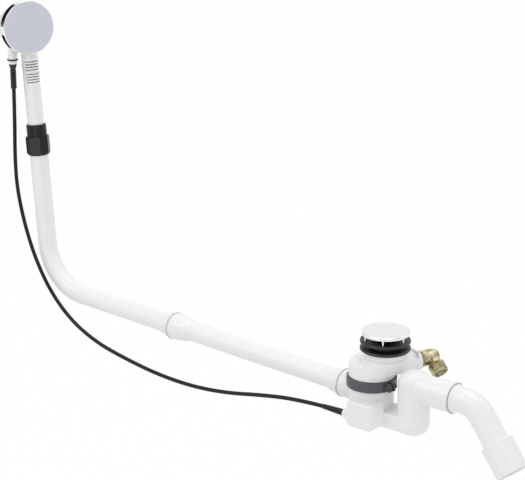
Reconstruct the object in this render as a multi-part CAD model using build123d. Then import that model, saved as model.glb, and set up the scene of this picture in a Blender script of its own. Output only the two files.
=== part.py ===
from build123d import *
from math import cos, pi, radians, sin, sqrt, tan
import os

# Bath waste and overflow with a turning knob, a push-pull cable and a bottom inlet.
# Millimetres and degrees. The origin is on the axis of the bath's waste hole, on the face that
# carries the bath floor. +Z is up, and +X runs from the overflow to the outlet.

# Fits: shaft in bearing, faces that pass each other, fixed pieces pushed together
RUN_FIT = 0.08
SLIP = 0.35
SEAT = 0.15

# Small edges, and how far a cut runs past a face
BEVEL = 1.0
FINE_BEVEL = 0.6
OVERCUT = 1.0

# Flat middle of a domed face, as a share of its radius
DOME_CROWN = 0.2

# Thickness of the bath that the waste and the overflow hold
BATH_SHEET = 7.0

# Waste: gasket, flange, cover
GASKET_RADIUS = 38.5
GASKET_ROUND = 1.5
LIP = 5.0
HOLE_RADIUS = 25.5
TAIL_RADIUS = 24.1
TAIL_BORE = 20.0
TAIL_DEPTH = 18.0
FLANGE_RADIUS = 34.5
FLANGE_PLATE = 2.0
SEAT_BEVEL = 3.0
COVER_RADIUS = 36.5
COVER_CLEAR = 8.6
COVER_RIM = 4.8
COVER_EDGE = 1.4
COVER_DOME = 1.4
COVER_RECESS = 2.5
LEG_COUNT = 6
LEG_CIRCLE = 32.6
LEG_RADIUS = 1.6
LEG_PEG = 1.0
LEG_LAND = 0.8
LEG_ROOT = 0.5

# Valve and lift pin
VALVE_RADIUS = 21.5
VALVE_PLATE = 1.8
VALVE_SEAL = 2.4
VALVE_HUB = 12.0
VALVE_CONE = 2.0
VALVE_BOSS = 7.0
VALVE_BOSS_LENGTH = 12.0
PIN_RADIUS = 4.0
PIN_TIP = 3.0
PIN_TAPER = 3.0
GUIDE_RADIUS = 7.0
GUIDE_TOP = -4.0
GUIDE_LENGTH = 10.0
GUIDE_ARM = 2.4
GUIDE_ARMS = 3
GUIDE_ARM_DROP = 2.0

# Rocker and actuator chamber
LIFTER_REACH = 13.0
LIFTER_FINGER = 3.5
LIFTER_ARM = 3.2
LIFTER_WIDTH = 6.0
CRANK_ARM = 18.0
CRANK_TIP = 3.5
CRANK_SLOT = 4.5
CRANK_PLATE = 2.7
ROCK_ANGLE = 40.0
SHAFT_RADIUS = 3.5
HUB_RADIUS = 5.5
WIRE_HEIGHT = -107.5
WIRE_DEPTH = -40.0
WIRE_RADIUS = 0.9
BLOCK_LENGTH = 8.0
BLOCK_HEIGHT = 7.0
BLOCK_WIDTH = 2.8
BLOCK_PIN = 2.0
CHAMBER_LEFT = -33.0
CHAMBER_RIGHT = 14.0
CHAMBER_TOP = -79.5
CHAMBER_BOTTOM = -121.0
CHAMBER_FRONT = -46.5
CHAMBER_BACK = -35.5
CHAMBER_WALL = 3.2
CHAMBER_EDGE = 6.0
CHAMBER_ROOT = -20.0
BEARING_BACK = -24.0
BEARING_WALL = 2.5
SHAFT_SEAL_BACK = 4.0
SHAFT_SEAL_WIDTH = 3.0
COVER_PLATE = 5.5
COVER_SKIN = 2.5
COVER_ROUND = 3.5
COVER_LIP = 1.6
COVER_LIP_DEPTH = 1.7
FUNNEL_LENGTH = 12.0
FUNNEL_WIDE = 11.5
FUNNEL_NARROW = 7.0
FUNNEL_NECK = 4.0
FUNNEL_LAND = 2.0
FERRULE_LENGTH = 40.0
FERRULE_RADIUS = 5.0
FERRULE_TIP = 4.0
FERRULE_SPIGOT = 4.0
FERRULE_DEPTH = 11.0
FERRULE_COLLAR = 2.0
FERRULE_TAPER = (2.0, 28.0)

# Upper body and clamp
NECK_RADIUS = 29.5
NECK_LEDGE = 2.5
NECK_FLANGE = 35.0
NECK_FLANGE_PLATE = 2.5
NECK_BOTTOM = -16.8
NECK_RAISE = 0.5
BOWL_OFFSET = -24.0
BOWL_RADIUS = 35.6
BOWL_TOP = -22.0
BOWL_ROUND = 12.0
BOWL_LIFT = 0.5
BODY_WALL = 2.6
LEG_WALL_RADIUS = 34.3
CLAMP_RADIUS = 38.6
CLAMP_TOP = -51.5
CLAMP_HEIGHT = 16.5
CLAMP_FLANGE = 36.6
CLAMP_FLANGE_PLATE = 2.6
CLAMP_SLOT = 3.0
CLAMP_ANGLE = -12.0
EAR_REACH = 8.5
EAR_PLATE = 5.0
EAR_HEIGHT = 11.0
CLAMP_SCREW = 2.0
CLAMP_SCREW_TAIL = 5.0
CLAMP_HEAD = 3.6
CLAMP_HEAD_HEIGHT = 3.0
CLAMP_KEY = 1.5
CLAMP_NUT_HEIGHT = 4.0
BODY_SEAL = 1.2
BODY_SEAL_INSET = 0.6

# Inlet branch and brass elbow
INLET_ANGLE = 70.0
INLET_HEIGHT = -33.4
INLET_DROP = 36.0
BRANCH_RADIUS = 16.0
BRANCH_END = 60.0
BRANCH_ROUND = 1.5
INLET_SPIGOT = 12.8
INLET_DEPTH = 24.0
INLET_CORNER = 85.6
INLET_BODY = 12.6
INLET_NECK = 10.2
INLET_LEG = 31.0
INLET_THREAD = 13.2
INLET_THREAD_LENGTH = 16.0
INLET_TAPER = 2.0
INLET_COLLAR = 14.2
INLET_COLLAR_WIDTH = 3.0
INLET_BORE = 7.6
INLET_MOUTH = 9.6
INLET_MOUTH_DEPTH = 14.0
RING_SECTION = 2.0
RING_ROOM = 3.0
RING_OFFSETS = (4.0, 9.0)
CLIP_PLATE = 2.2
CLIP_GROOVE = 11.0
CLIP_LEG = 3.2
CLIP_BRIDGE = 2.5

# Trap
TRAP_WALL = 2.5
TRAP_BOTTOM = -127.0
TRAP_ROUND = 18.0
RISER_X = 55.0
RISER_RADIUS = 24.6
RISER_TOP = -27.0
CHANNEL_WIDTH = 42.0
CHANNEL_TOP = -97.0
OUTLET_HEIGHT = -50.5
OUTLET_JOINT = 129.0

# Outlet bend and sleeve
OUTLET_RADIUS = 20.0
OUTLET_WALL = 1.9
OUTLET_SOCKET = 23.3
OUTLET_DEPTH = 28.0
OUTLET_STOP = 3.0
OUTLET_SEAL = 2.4
OUTLET_SEAL_PLACE = (-11.0, -5.0)
OUTLET_COLLAR = 21.8
OUTLET_LAND = 4.0
OUTLET_NECK = 8.0
OUTLET_CORNER = 36.0
OUTLET_ANGLE = 50.0
OUTLET_SWIVEL = 5.0
OUTLET_BEND_RADIUS = 45.0
SLEEVE_RADIUS = 25.0
SLEEVE_START = 63.0
SLEEVE_END = 113.0
SLEEVE_OVERLAP = 34.0
SLEEVE_SEAL_OFFSETS = (6.0, 11.0)
SLEEVE_TAPER = 3.0
SLEEVE_STEP = 4.0

# Overflow pipe
RUN_FALL = 1.6
LEAN = 5.0
RUN_LENGTH = 646.0
BEND_RADIUS = 85.0
PIPE_RADIUS = 16.0
PIPE_WALL = 1.65
SOCKET_X = -75.75
SOCKET_Z = -78.04
SOCKET_RADIUS = 21.7
SOCKET_DEPTH = 30.0
TRAP_SOCKET_DEPTH = 11.5
THROAT_RADIUS = 11.5
THROAT_DROP = 5.0
SOCKET_TAPER = 24.0
SOCKET_LAND = 6.0
MID_JOINT = 292.0
SEAL_START = 2.5
SEAL_WIDTH = 6.0
SEAL_DEPTH = 3.0
SEAL_LIP = 1.5
SEAL_LEAD = 0.8
BELL_SHOULDER = 2.2
BELL_TAPER = 6.0
BELL_LAND = 2.0

# Union
UNION_BOTTOM = 232.6
UNION_SKIRT = 3.0
UNION_THREAD = 20.0
UNION_NUT = 20.6
UNION_NUT_LIP = 2.6
UNION_FLATS = 8
UNION_TURN = 13.0
UNION_CONE = 4.0
UNION_FOOT = 17.5
UNION_SEAL = 3.6
THREAD_RADIUS = 17.3
COLLET_RADIUS = 17.0
COLLET_FLANGE = 2.4
COLLET_HEIGHT = 21.0
COLLET_BEAD = 0.4
COLLET_TAPER = 2.0

# Overflow head
HEAD_UP = 456.0
HEAD_YAW = -20.0
UPPER_RADIUS = 14.0
UPPER_WALL = 2.0
UPPER_INSERT = 66.0
GRIP_TOP = 61.0
GRIP_PITCH = 4.6
GRIP_GROOVES = 4
GRIP_GROUPS = 2
GRIP_GROUP_STEP = 21.3
GRIP_WIDTH = 1.7
GRIP_DEPTH = 1.0
GRIP_STRIP = 7.0
KNOB_AXIS = -13.5
HOUSING_RADIUS = 33.0
HOUSING_BACK = -16.5
HOUSING_FRONT = 14.0
HOUSING_WALL = 2.4
HOUSING_ROUND = 6.0
HOUSING_FLANGE = 35.0
HEAD_GASKET = 2.5
GASKET_INSET = 0.3
HEAD_FLANGE_RADIUS = 36.0
HEAD_FLANGE_PLATE = 2.2
HEAD_SLEEVE = 25.2
HEAD_SLEEVE_WALL = 2.0
HEAD_SLEEVE_DEPTH = 10.5
HEAD_BUSH = 7.5
HEAD_SPOKES = 4
HEAD_SPOKE = 3.0
HEAD_SCREW_CIRCLE = 17.0
HEAD_SCREW = 2.0
HEAD_SCREW_HEAD = 3.6
HEAD_SCREW_TOP = 2.4
HEAD_SCREW_LENGTH = 10.0
HEAD_SCREW_SPARE = 0.5
HEAD_BOSS = 4.4
KNOB_RADIUS = 45.0
KNOB_STANDOFF = 3.5
KNOB_DEPTH = 15.0
KNOB_WALL = 2.2
KNOB_EDGE = 1.6
KNOB_DOME = 1.2
KNOB_HUB = 9.0
SPINDLE_RADIUS = 4.0
DRUM_RADIUS = 9.5
DRUM_GROOVE = 6.8
DRUM_WIDTH = 7.0
DRUM_RIM = 2.0

# Cable and its upper end
STUB_SIDE = -29.2
STUB_DROP = 30.0
STUB_RADIUS = 7.8
STUB_LENGTH = 24.6
ADJUSTER_NUT = 9.3
ADJUSTER_NUT_HEIGHT = 2.2
ADJUSTER_RADIUS = 7.0
ADJUSTER_HEIGHT = 6.2
ADJUSTER_SPIGOT = 5.2
BOOT_LENGTH = 43.0
BOOT_CONE = 10.0
BOOT_WIDE = 6.9
BOOT_RIB = 5.2
BOOT_RIBS = 7
BOOT_RIB_SHARE = (0.25, 0.75)
CABLE_RADIUS = 3.25
ARC_SHARE = 0.45

# Route of the cable: upper points from the boot's end, lower points from the ferrule's end
CABLE_GAP = 0.2
CABLE_FROM_BOOT = [
    (0.0, 0.0, 0.0),
    (-1.0, 0.3, -52.3),
    (-5.0, 0.9, -119.3),
    (-3.5, 1.5, -175.3),
    (10.5, 2.1, -235.3),
    (34.5, 2.3, -295.3),
    (71.5, 2.2, -350.3),
    (121.5, 1.7, -391.3),
]
CABLE_FROM_FERRULE = [
    (-498.7, 10.6, -19.5),
    (-428.7, 9.0, -31.5),
    (-352.7, 7.4, -40.0),
    (-274.7, 5.9, -40.5),
    (-198.7, 4.4, -31.5),
    (-126.7, 3.0, -15.5),
    (-56.7, 1.6, -3.5),
    (0.0, 0.0, 0.0),
]

# Values that follow from the sizes above
FLANGE_TOP = BATH_SHEET + LIP
COVER_UNDER = FLANGE_TOP + COVER_CLEAR
LIFT = 2 * LIFTER_REACH * sin(radians(ROCK_ANGLE / 2))
SHAFT_Z = WIRE_HEIGHT + CRANK_ARM
SHAFT_X = -LIFTER_REACH
REST_ROCK = radians(ROCK_ANGLE / 2)
FINGER_X = SHAFT_X + LIFTER_REACH * cos(REST_ROCK)
FINGER_Z = SHAFT_Z + LIFTER_REACH * sin(REST_ROCK)
WIRE_X = SHAFT_X + CRANK_ARM * tan(REST_ROCK)
CLAMP_BOTTOM = CLAMP_TOP - CLAMP_HEIGHT
CLAMP_MIDDLE = CLAMP_TOP - CLAMP_HEIGHT / 2
UPPER_FLANGE_Z = CLAMP_MIDDLE + BODY_SEAL / 2
LOWER_FLANGE_Z = CLAMP_MIDDLE - BODY_SEAL / 2
FUNNEL_TIP = CHAMBER_LEFT - FUNNEL_LENGTH
PIPE_BORE = PIPE_RADIUS - PIPE_WALL
NECK_TOP = NECK_FLANGE_PLATE + NECK_RAISE - LIP
SHOULDER = CLAMP_TOP + BOWL_LIFT
THREAD_BOTTOM = UNION_BOTTOM + UNION_SKIRT
UNION_TOP = THREAD_BOTTOM + UNION_THREAD

RUN_DIRECTION = Vector(cos(radians(RUN_FALL)), 0, -sin(radians(RUN_FALL)))
RISER_DIRECTION = Vector(-sin(radians(LEAN)), 0, cos(radians(LEAN)))
CORNER = Vector(SOCKET_X, 0, SOCKET_Z) - RUN_DIRECTION * RUN_LENGTH
RUN = Plane(CORNER, x_dir=(0, 1, 0), z_dir=RUN_DIRECTION)
RISER = Plane(CORNER, x_dir=(0, 1, 0), z_dir=RISER_DIRECTION)

YAWED = Vector(cos(radians(HEAD_YAW)), sin(radians(HEAD_YAW)), 0)
HEAD_FRONT = YAWED.rotate(Axis.Y, -LEAN)
HEAD = Plane(CORNER + RISER_DIRECTION * HEAD_UP, x_dir=HEAD_FRONT, z_dir=RISER_DIRECTION)
KNOB = Plane(HEAD.from_local_coords((0, KNOB_AXIS, 0)), x_dir=RISER_DIRECTION, z_dir=HEAD_FRONT)
GASKET_FACE = HOUSING_FRONT + HEAD_GASKET
HEAD_FLANGE_BACK = GASKET_FACE + BATH_SHEET
HEAD_FLANGE_FRONT = HEAD_FLANGE_BACK + HEAD_FLANGE_PLATE
KNOB_BACK = HEAD_FLANGE_FRONT + KNOB_STANDOFF
KNOB_FACE = KNOB_BACK + KNOB_DEPTH

STUB = HEAD.from_local_coords((0, STUB_SIDE, -STUB_DROP))
STUB_AXIS = Plane((STUB.X, STUB.Y, 0), z_dir=(0, 0, 1))
STUB_END = STUB.Z - STUB_LENGTH
NUT_END = STUB_END - ADJUSTER_NUT_HEIGHT
ADJUSTER_END = NUT_END - ADJUSTER_HEIGHT
BOOT_END = ADJUSTER_END - BOOT_LENGTH

BRANCH_DIRECTION = Vector(cos(radians(INLET_ANGLE)), sin(radians(INLET_ANGLE)), 0)
INLET_SIDE = Vector(sin(radians(INLET_ANGLE)), -cos(radians(INLET_ANGLE)), 0)
INLET_DIRECTION = INLET_SIDE * cos(radians(INLET_DROP)) - Vector(0, 0, sin(radians(INLET_DROP)))
BRANCH_START = Vector(0, 0, INLET_HEIGHT)
BRANCH = Plane(BRANCH_START, x_dir=INLET_SIDE, z_dir=BRANCH_DIRECTION)
INLET_POINT = BRANCH_START + BRANCH_DIRECTION * INLET_CORNER
INLET = Plane(INLET_POINT, x_dir=BRANCH_DIRECTION, z_dir=INLET_DIRECTION)

OUTLET_START = Vector(OUTLET_JOINT, 0, OUTLET_HEIGHT)
OUTLET = Plane(OUTLET_START, x_dir=(0, 1, 0), z_dir=(1, 0, 0))
OUTLET_TURN = OUTLET_START + Vector(OUTLET_CORNER, 0, 0)
OUTLET_DOWN = Vector(0, -sin(radians(OUTLET_SWIVEL)), -cos(radians(OUTLET_SWIVEL)))
OUTLET_FALL = Vector(cos(radians(OUTLET_ANGLE)), 0, 0) + OUTLET_DOWN * sin(radians(OUTLET_ANGLE))
SPOUT = Plane(OUTLET_TURN, x_dir=OUTLET_FALL.cross(Vector(1, 0, 0)), z_dir=OUTLET_FALL)

SHAFT = Plane((SHAFT_X, 0, SHAFT_Z), x_dir=(1, 0, 0), z_dir=(0, 1, 0))
WIRE = Plane((0, WIRE_DEPTH, WIRE_HEIGHT), x_dir=(0, 1, 0), z_dir=(1, 0, 0))
UPRIGHT = Plane.XY
BOWL = Plane((BOWL_OFFSET, 0, 0), x_dir=(1, 0, 0), z_dir=(0, 0, 1))


def rod(plane, radius, start, end):
    """Cylinder on a plane's normal, between two distances along it."""
    return plane.location * Pos(0, 0, (start + end) / 2) * Cylinder(radius, end - start)


def ring(plane, outer, inner, start, end):
    """Plain ring on a plane's normal, between two distances along it."""
    return rod(plane, outer, start, end) - rod(plane, inner, start, end)


def turned(plane, profile):
    """Solid turned about a plane's normal from (radius, distance) corners."""
    outline = Polyline(*[(radius, 0, along) for radius, along in profile], close=True)
    return plane.location * revolve(make_face(outline), Axis.Z)


def domed(plane, radius, start, rim, dome, edge):
    """Disc on a plane's normal with a rounded front edge and a dome that is flat at its middle."""
    flat = radius - edge
    crown = DOME_CROWN * radius
    span = flat - crown
    ball = (span ** 2 + dome ** 2) / (2 * dome)
    middle = sqrt(ball ** 2 - (span / 2) ** 2) - ball + dome
    corner = edge * (1 - cos(radians(45)))
    outline = Polyline((crown, 0, rim + dome), (0, 0, rim + dome), (0, 0, start), (radius, 0, start))
    outline += Line((radius, 0, start), (radius, 0, rim - edge))
    outline += ThreePointArc((radius, 0, rim - edge), (radius - corner, 0, rim - corner), (flat, 0, rim))
    outline += ThreePointArc((flat, 0, rim), (crown + span / 2, 0, rim + middle), (crown, 0, rim + dome))
    return plane.location * revolve(make_face(outline), Axis.Z)


def block(low, high):
    """Box between two opposite corners."""
    size = [b - a for a, b in zip(low, high)]
    middle = [(a + b) / 2 for a, b in zip(low, high)]
    return Pos(*middle) * Box(*size)


def swept(points, radius, bend):
    """Round bar along straight runs joined by one bend radius."""
    path = FilletPolyline(*points, radius=bend)
    section = Plane(path @ 0, z_dir=path % 0) * Circle(radius)
    return sweep(section, path=path)


def around(plane, count, shape, first=0.0):
    """Copies of a shape turned about a plane's normal."""
    axis = Axis(plane.origin, plane.z_dir)
    return [shape.rotate(axis, first + 360.0 / count * step) for step in range(count)]


def male_end(plane, joint, depth):
    """Conical stop collar in front of a spigot that enters the next socket."""
    collar = [
        (PIPE_BORE, joint - SOCKET_TAPER - SOCKET_LAND),
        (PIPE_RADIUS, joint - SOCKET_TAPER - SOCKET_LAND),
        (SOCKET_RADIUS - BEVEL, joint - SOCKET_LAND),
        (SOCKET_RADIUS, joint - BEVEL),
        (SOCKET_RADIUS, joint),
        (PIPE_RADIUS, joint),
        (PIPE_RADIUS, joint + depth),
        (PIPE_BORE, joint + depth),
    ]
    return turned(plane, collar)


def seal_room(plane, joint, radius):
    """Groove for the lip seal just inside a socket's mouth."""
    start = joint + SEAL_START
    return rod(plane, radius + SEAL_DEPTH + SEAT, start - SEAT, start + SEAL_WIDTH + SEAT)


def lip_seal(plane, joint, radius):
    """Rubber ring with a bevelled lip that bears on the spigot."""
    start = joint + SEAL_START
    inner = radius + RUN_FIT
    outer = radius + SEAL_DEPTH
    return turned(plane, [
        (inner + SEAL_LEAD, start),
        (outer, start),
        (outer, start + SEAL_WIDTH),
        (outer - SEAL_LIP, start + SEAL_WIDTH),
        (inner, start + SEAL_WIDTH - BEVEL),
        (inner, start + SEAL_WIDTH - BEVEL - SEAL_LIP),
    ])


# Waste gasket: one rubber ring with two lips, the bath floor goes between them
def waste_gasket():
    inner = TAIL_RADIUS + SEAT
    rim = FLANGE_RADIUS + SEAT
    foot = NECK_FLANGE + SEAT
    seat = FLANGE_TOP - FLANGE_PLATE
    return turned(UPRIGHT, [
        (inner, NECK_TOP),
        (foot, NECK_TOP),
        (foot, -LIP),
        (GASKET_RADIUS - GASKET_ROUND, -LIP),
        (GASKET_RADIUS, GASKET_ROUND - LIP),
        (GASKET_RADIUS, -BEVEL),
        (GASKET_RADIUS - BEVEL, 0),
        (HOLE_RADIUS + BEVEL, 0),
        (HOLE_RADIUS, BEVEL),
        (HOLE_RADIUS, BATH_SHEET - BEVEL),
        (HOLE_RADIUS + BEVEL, BATH_SHEET),
        (GASKET_RADIUS - BEVEL, BATH_SHEET),
        (GASKET_RADIUS, BATH_SHEET + BEVEL),
        (GASKET_RADIUS, FLANGE_TOP - GASKET_ROUND),
        (GASKET_RADIUS - GASKET_ROUND, FLANGE_TOP),
        (rim, FLANGE_TOP),
        (rim, seat),
        (inner, seat),
    ])


# Waste flange: chromed ring with a threaded tail, a bevelled valve seat and the pin's guide
def waste_flange():
    seat = FLANGE_TOP - FLANGE_PLATE
    shell = turned(UPRIGHT, [
        (TAIL_BORE, -TAIL_DEPTH),
        (TAIL_RADIUS, -TAIL_DEPTH),
        (TAIL_RADIUS, seat),
        (FLANGE_RADIUS, seat),
        (FLANGE_RADIUS, FLANGE_TOP - FINE_BEVEL),
        (FLANGE_RADIUS - FINE_BEVEL, FLANGE_TOP),
        (TAIL_BORE + SEAT_BEVEL, FLANGE_TOP),
        (TAIL_BORE, FLANGE_TOP - SEAT_BEVEL),
    ])
    guide_bottom = GUIDE_TOP - GUIDE_LENGTH
    hub = rod(UPRIGHT, GUIDE_RADIUS, guide_bottom, GUIDE_TOP)
    arm_low = (0, -GUIDE_ARM / 2, guide_bottom)
    arm = block(arm_low, (TAIL_BORE + OVERCUT, GUIDE_ARM / 2, GUIDE_TOP - GUIDE_ARM_DROP))
    for spoke in around(UPRIGHT, GUIDE_ARMS, arm):
        hub += spoke
    hub -= rod(UPRIGHT, PIN_RADIUS + RUN_FIT, guide_bottom, GUIDE_TOP)
    peg = Pos(LEG_CIRCLE, 0, 0) * rod(UPRIGHT, LEG_PEG + SEAT, seat, FLANGE_TOP)
    flange = shell + hub
    for hole in around(UPRIGHT, LEG_COUNT, peg):
        flange -= hole
    return flange


# Cover: chromed cap on six legs, under which the water runs in and out
def waste_cover():
    cap = domed(UPRIGHT, COVER_RADIUS, COVER_UNDER, COVER_UNDER + COVER_RIM, COVER_DOME, COVER_EDGE)
    cap -= rod(UPRIGHT, LEG_CIRCLE - LEG_RADIUS - LEG_LAND, COVER_UNDER, COVER_UNDER + COVER_RECESS)
    leg = turned(Plane((LEG_CIRCLE, 0, 0), z_dir=(0, 0, 1)), [
        (0, FLANGE_TOP - FLANGE_PLATE + SEAT),
        (LEG_PEG, FLANGE_TOP - FLANGE_PLATE + SEAT),
        (LEG_PEG, FLANGE_TOP),
        (LEG_RADIUS, FLANGE_TOP),
        (LEG_RADIUS, COVER_UNDER + LEG_ROOT),
        (0, COVER_UNDER + LEG_ROOT),
    ])
    for post in around(UPRIGHT, LEG_COUNT, leg):
        cap += post
    return cap


# Valve: moulded plate with a boss for the pin, drawn raised by the lift
VALVE_FACE = FLANGE_TOP - SEAT_BEVEL + SLIP + LIFT
VALVE_UNDER = VALVE_FACE + VALVE_SEAL
VALVE_BOSS_END = VALVE_FACE - VALVE_BOSS_LENGTH


def valve_plug():
    plug = turned(UPRIGHT, [
        (0, VALVE_BOSS_END),
        (VALVE_BOSS - BEVEL, VALVE_BOSS_END),
        (VALVE_BOSS, VALVE_BOSS_END + BEVEL),
        (VALVE_BOSS, VALVE_FACE - VALVE_CONE),
        (VALVE_HUB, VALVE_FACE),
        (VALVE_HUB, VALVE_UNDER),
        (VALVE_RADIUS, VALVE_UNDER),
        (VALVE_RADIUS - BEVEL, VALVE_UNDER + VALVE_PLATE),
        (0, VALVE_UNDER + VALVE_PLATE),
    ])
    return plug - rod(UPRIGHT, PIN_RADIUS + SEAT, VALVE_BOSS_END, VALVE_FACE)


def valve_seal():
    bevel = TAIL_BORE + SLIP - SLIP * sqrt(2)
    return turned(UPRIGHT, [
        (VALVE_HUB + SEAT, VALVE_FACE),
        (bevel, VALVE_FACE),
        (bevel + VALVE_SEAL, VALVE_UNDER),
        (VALVE_HUB + SEAT, VALVE_UNDER),
    ])


# Lift pin: plain rod, guided by the flange and carried on the lifter's finger
PIN_FOOT = FINGER_Z + LIFTER_FINGER + SLIP


def lift_pin():
    return turned(UPRIGHT, [
        (0, PIN_FOOT),
        (PIN_TIP, PIN_FOOT),
        (PIN_RADIUS, PIN_FOOT + PIN_TAPER),
        (PIN_RADIUS, VALVE_FACE),
        (0, VALVE_FACE),
    ])


# Upper body: neck under the bath, eccentric bowl, inlet branch and lower clamp flange
def upper_body():
    bowl = rod(BOWL, BOWL_RADIUS, SHOULDER, BOWL_TOP)
    bowl = fillet(bowl.edges().sort_by(Axis.Z)[-1], BOWL_ROUND)
    slope = loft([
        Pos(0, 0, NECK_BOTTOM) * Circle(NECK_RADIUS + NECK_LEDGE),
        Pos(BOWL_OFFSET, 0, SHOULDER) * Circle(BOWL_RADIUS - BEVEL),
    ])
    neck = rod(UPRIGHT, NECK_RADIUS, NECK_BOTTOM, NECK_TOP)
    neck += rod(UPRIGHT, NECK_FLANGE, NECK_TOP - NECK_FLANGE_PLATE, NECK_TOP)
    skirt = rod(BOWL, LEG_WALL_RADIUS, UPPER_FLANGE_Z, SHOULDER)
    skirt += rod(BOWL, CLAMP_FLANGE, UPPER_FLANGE_Z, UPPER_FLANGE_Z + CLAMP_FLANGE_PLATE)
    branch = rod(BRANCH, BRANCH_RADIUS, 0, BRANCH_END)
    mouth = branch.edges().sort_by(lambda edge: edge.center().dot(BRANCH_DIRECTION))[-1]
    branch = fillet(mouth, BRANCH_ROUND)
    body = bowl + slope + neck + skirt + branch
    bowl_room = rod(BOWL, BOWL_RADIUS - BODY_WALL, SHOULDER + BODY_WALL, BOWL_TOP - BODY_WALL)
    bowl_room = fillet(bowl_room.edges().sort_by(Axis.Z)[-1], BOWL_ROUND - BODY_WALL)
    slope_room = loft([
        Pos(0, 0, NECK_BOTTOM) * Circle(NECK_RADIUS - BODY_WALL),
        Pos(BOWL_OFFSET, 0, SHOULDER) * Circle(LEG_WALL_RADIUS - BODY_WALL - BEVEL),
    ])
    skirt_room = rod(BOWL, LEG_WALL_RADIUS - BODY_WALL, UPPER_FLANGE_Z, SHOULDER + 2 * BODY_WALL)
    tail_room = rod(UPRIGHT, TAIL_RADIUS + SEAT, -TAIL_DEPTH - SLIP, NECK_TOP)
    branch_room = rod(BRANCH, INLET_SPIGOT + SEAT, BRANCH_END - INLET_DEPTH, BRANCH_END)
    branch_room += rod(BRANCH, INLET_BORE, TAIL_BORE, BRANCH_END)
    body = body - bowl_room - slope_room - skirt_room - tail_room - branch_room
    return body - clip_room()


CLIP_PLACE = BRANCH_END - INLET_DEPTH / 3


def clip_shape(room):
    """Fork of the inlet's retaining clip, widened by a fit to cut its slot."""
    half = CLIP_PLATE / 2 + room
    low = -BRANCH_RADIUS / 2 - room
    outer = CLIP_GROOVE + CLIP_LEG + room
    inner = CLIP_GROOVE + SEAT - room
    top = BRANCH_RADIUS + CLIP_BRIDGE
    fork = block((-outer, low, -half), (outer, top, half))
    fork -= Cylinder(inner, 4 * CLIP_PLATE)
    fork -= block((-inner, low - OVERCUT, -2 * CLIP_PLATE), (inner, 0, 2 * CLIP_PLATE))
    return fork


CLIP = Plane(BRANCH_START + BRANCH_DIRECTION * CLIP_PLACE, x_dir=-INLET_SIDE, z_dir=BRANCH_DIRECTION)


def clip_room():
    return CLIP.location * clip_shape(SEAT)


def inlet_clip():
    return CLIP.location * clip_shape(0.0)


# Brass elbow: turned spigot with seal and clip grooves, hot-pressed corner, threaded mouth
SEAL_PLACES = [BRANCH_END - INLET_DEPTH + offset for offset in RING_OFFSETS]


def inlet_elbow():
    spigot = rod(BRANCH, INLET_SPIGOT, BRANCH_END - INLET_DEPTH + SLIP, BRANCH_END)
    collar = rod(BRANCH, INLET_COLLAR, BRANCH_END, BRANCH_END + INLET_COLLAR_WIDTH)
    arm = rod(BRANCH, INLET_BODY, BRANCH_END, INLET_CORNER)
    corner = Pos(*INLET_POINT) * Sphere(INLET_BODY)
    leg_end = INLET_LEG - INLET_THREAD_LENGTH
    leg = turned(INLET, [
        (0, 0),
        (INLET_NECK, 0),
        (INLET_NECK, leg_end - INLET_TAPER),
        (INLET_THREAD, leg_end),
        (INLET_THREAD, INLET_LEG - BEVEL),
        (INLET_THREAD - BEVEL, INLET_LEG),
        (0, INLET_LEG),
    ])
    elbow = spigot + collar + arm + corner + leg
    root = INLET_SPIGOT - RING_SECTION
    for place in SEAL_PLACES:
        elbow -= ring(BRANCH, INLET_SPIGOT + OVERCUT, root, place, place + RING_ROOM)
    clip_low = CLIP_PLACE - CLIP_PLATE / 2 - SEAT
    clip_high = CLIP_PLACE + CLIP_PLATE / 2 + SEAT
    elbow -= ring(BRANCH, INLET_SPIGOT + OVERCUT, CLIP_GROOVE, clip_low, clip_high)
    bore = rod(BRANCH, INLET_BORE, BRANCH_END - INLET_DEPTH, INLET_CORNER)
    bore += Pos(*INLET_POINT) * Sphere(INLET_BORE)
    bore += rod(INLET, INLET_BORE, 0, INLET_LEG)
    bore += rod(INLET, INLET_MOUTH, INLET_LEG - INLET_MOUTH_DEPTH, INLET_LEG)
    return elbow - bore


def inlet_seals():
    outer = INLET_SPIGOT + SEAT / 2
    inner = INLET_SPIGOT - RING_SECTION + SEAT / 2
    width = RING_ROOM - SEAT
    seals = [ring(BRANCH, outer, inner, place + SEAT, place + width) for place in SEAL_PLACES]
    return Compound(children=seals)


# Clamp ring: one split ring that draws the two body flanges together
CLAMP = BOWL.rotated((0, 0, CLAMP_ANGLE))
EAR_MIDDLE = CLAMP_RADIUS + EAR_REACH / 2


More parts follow.
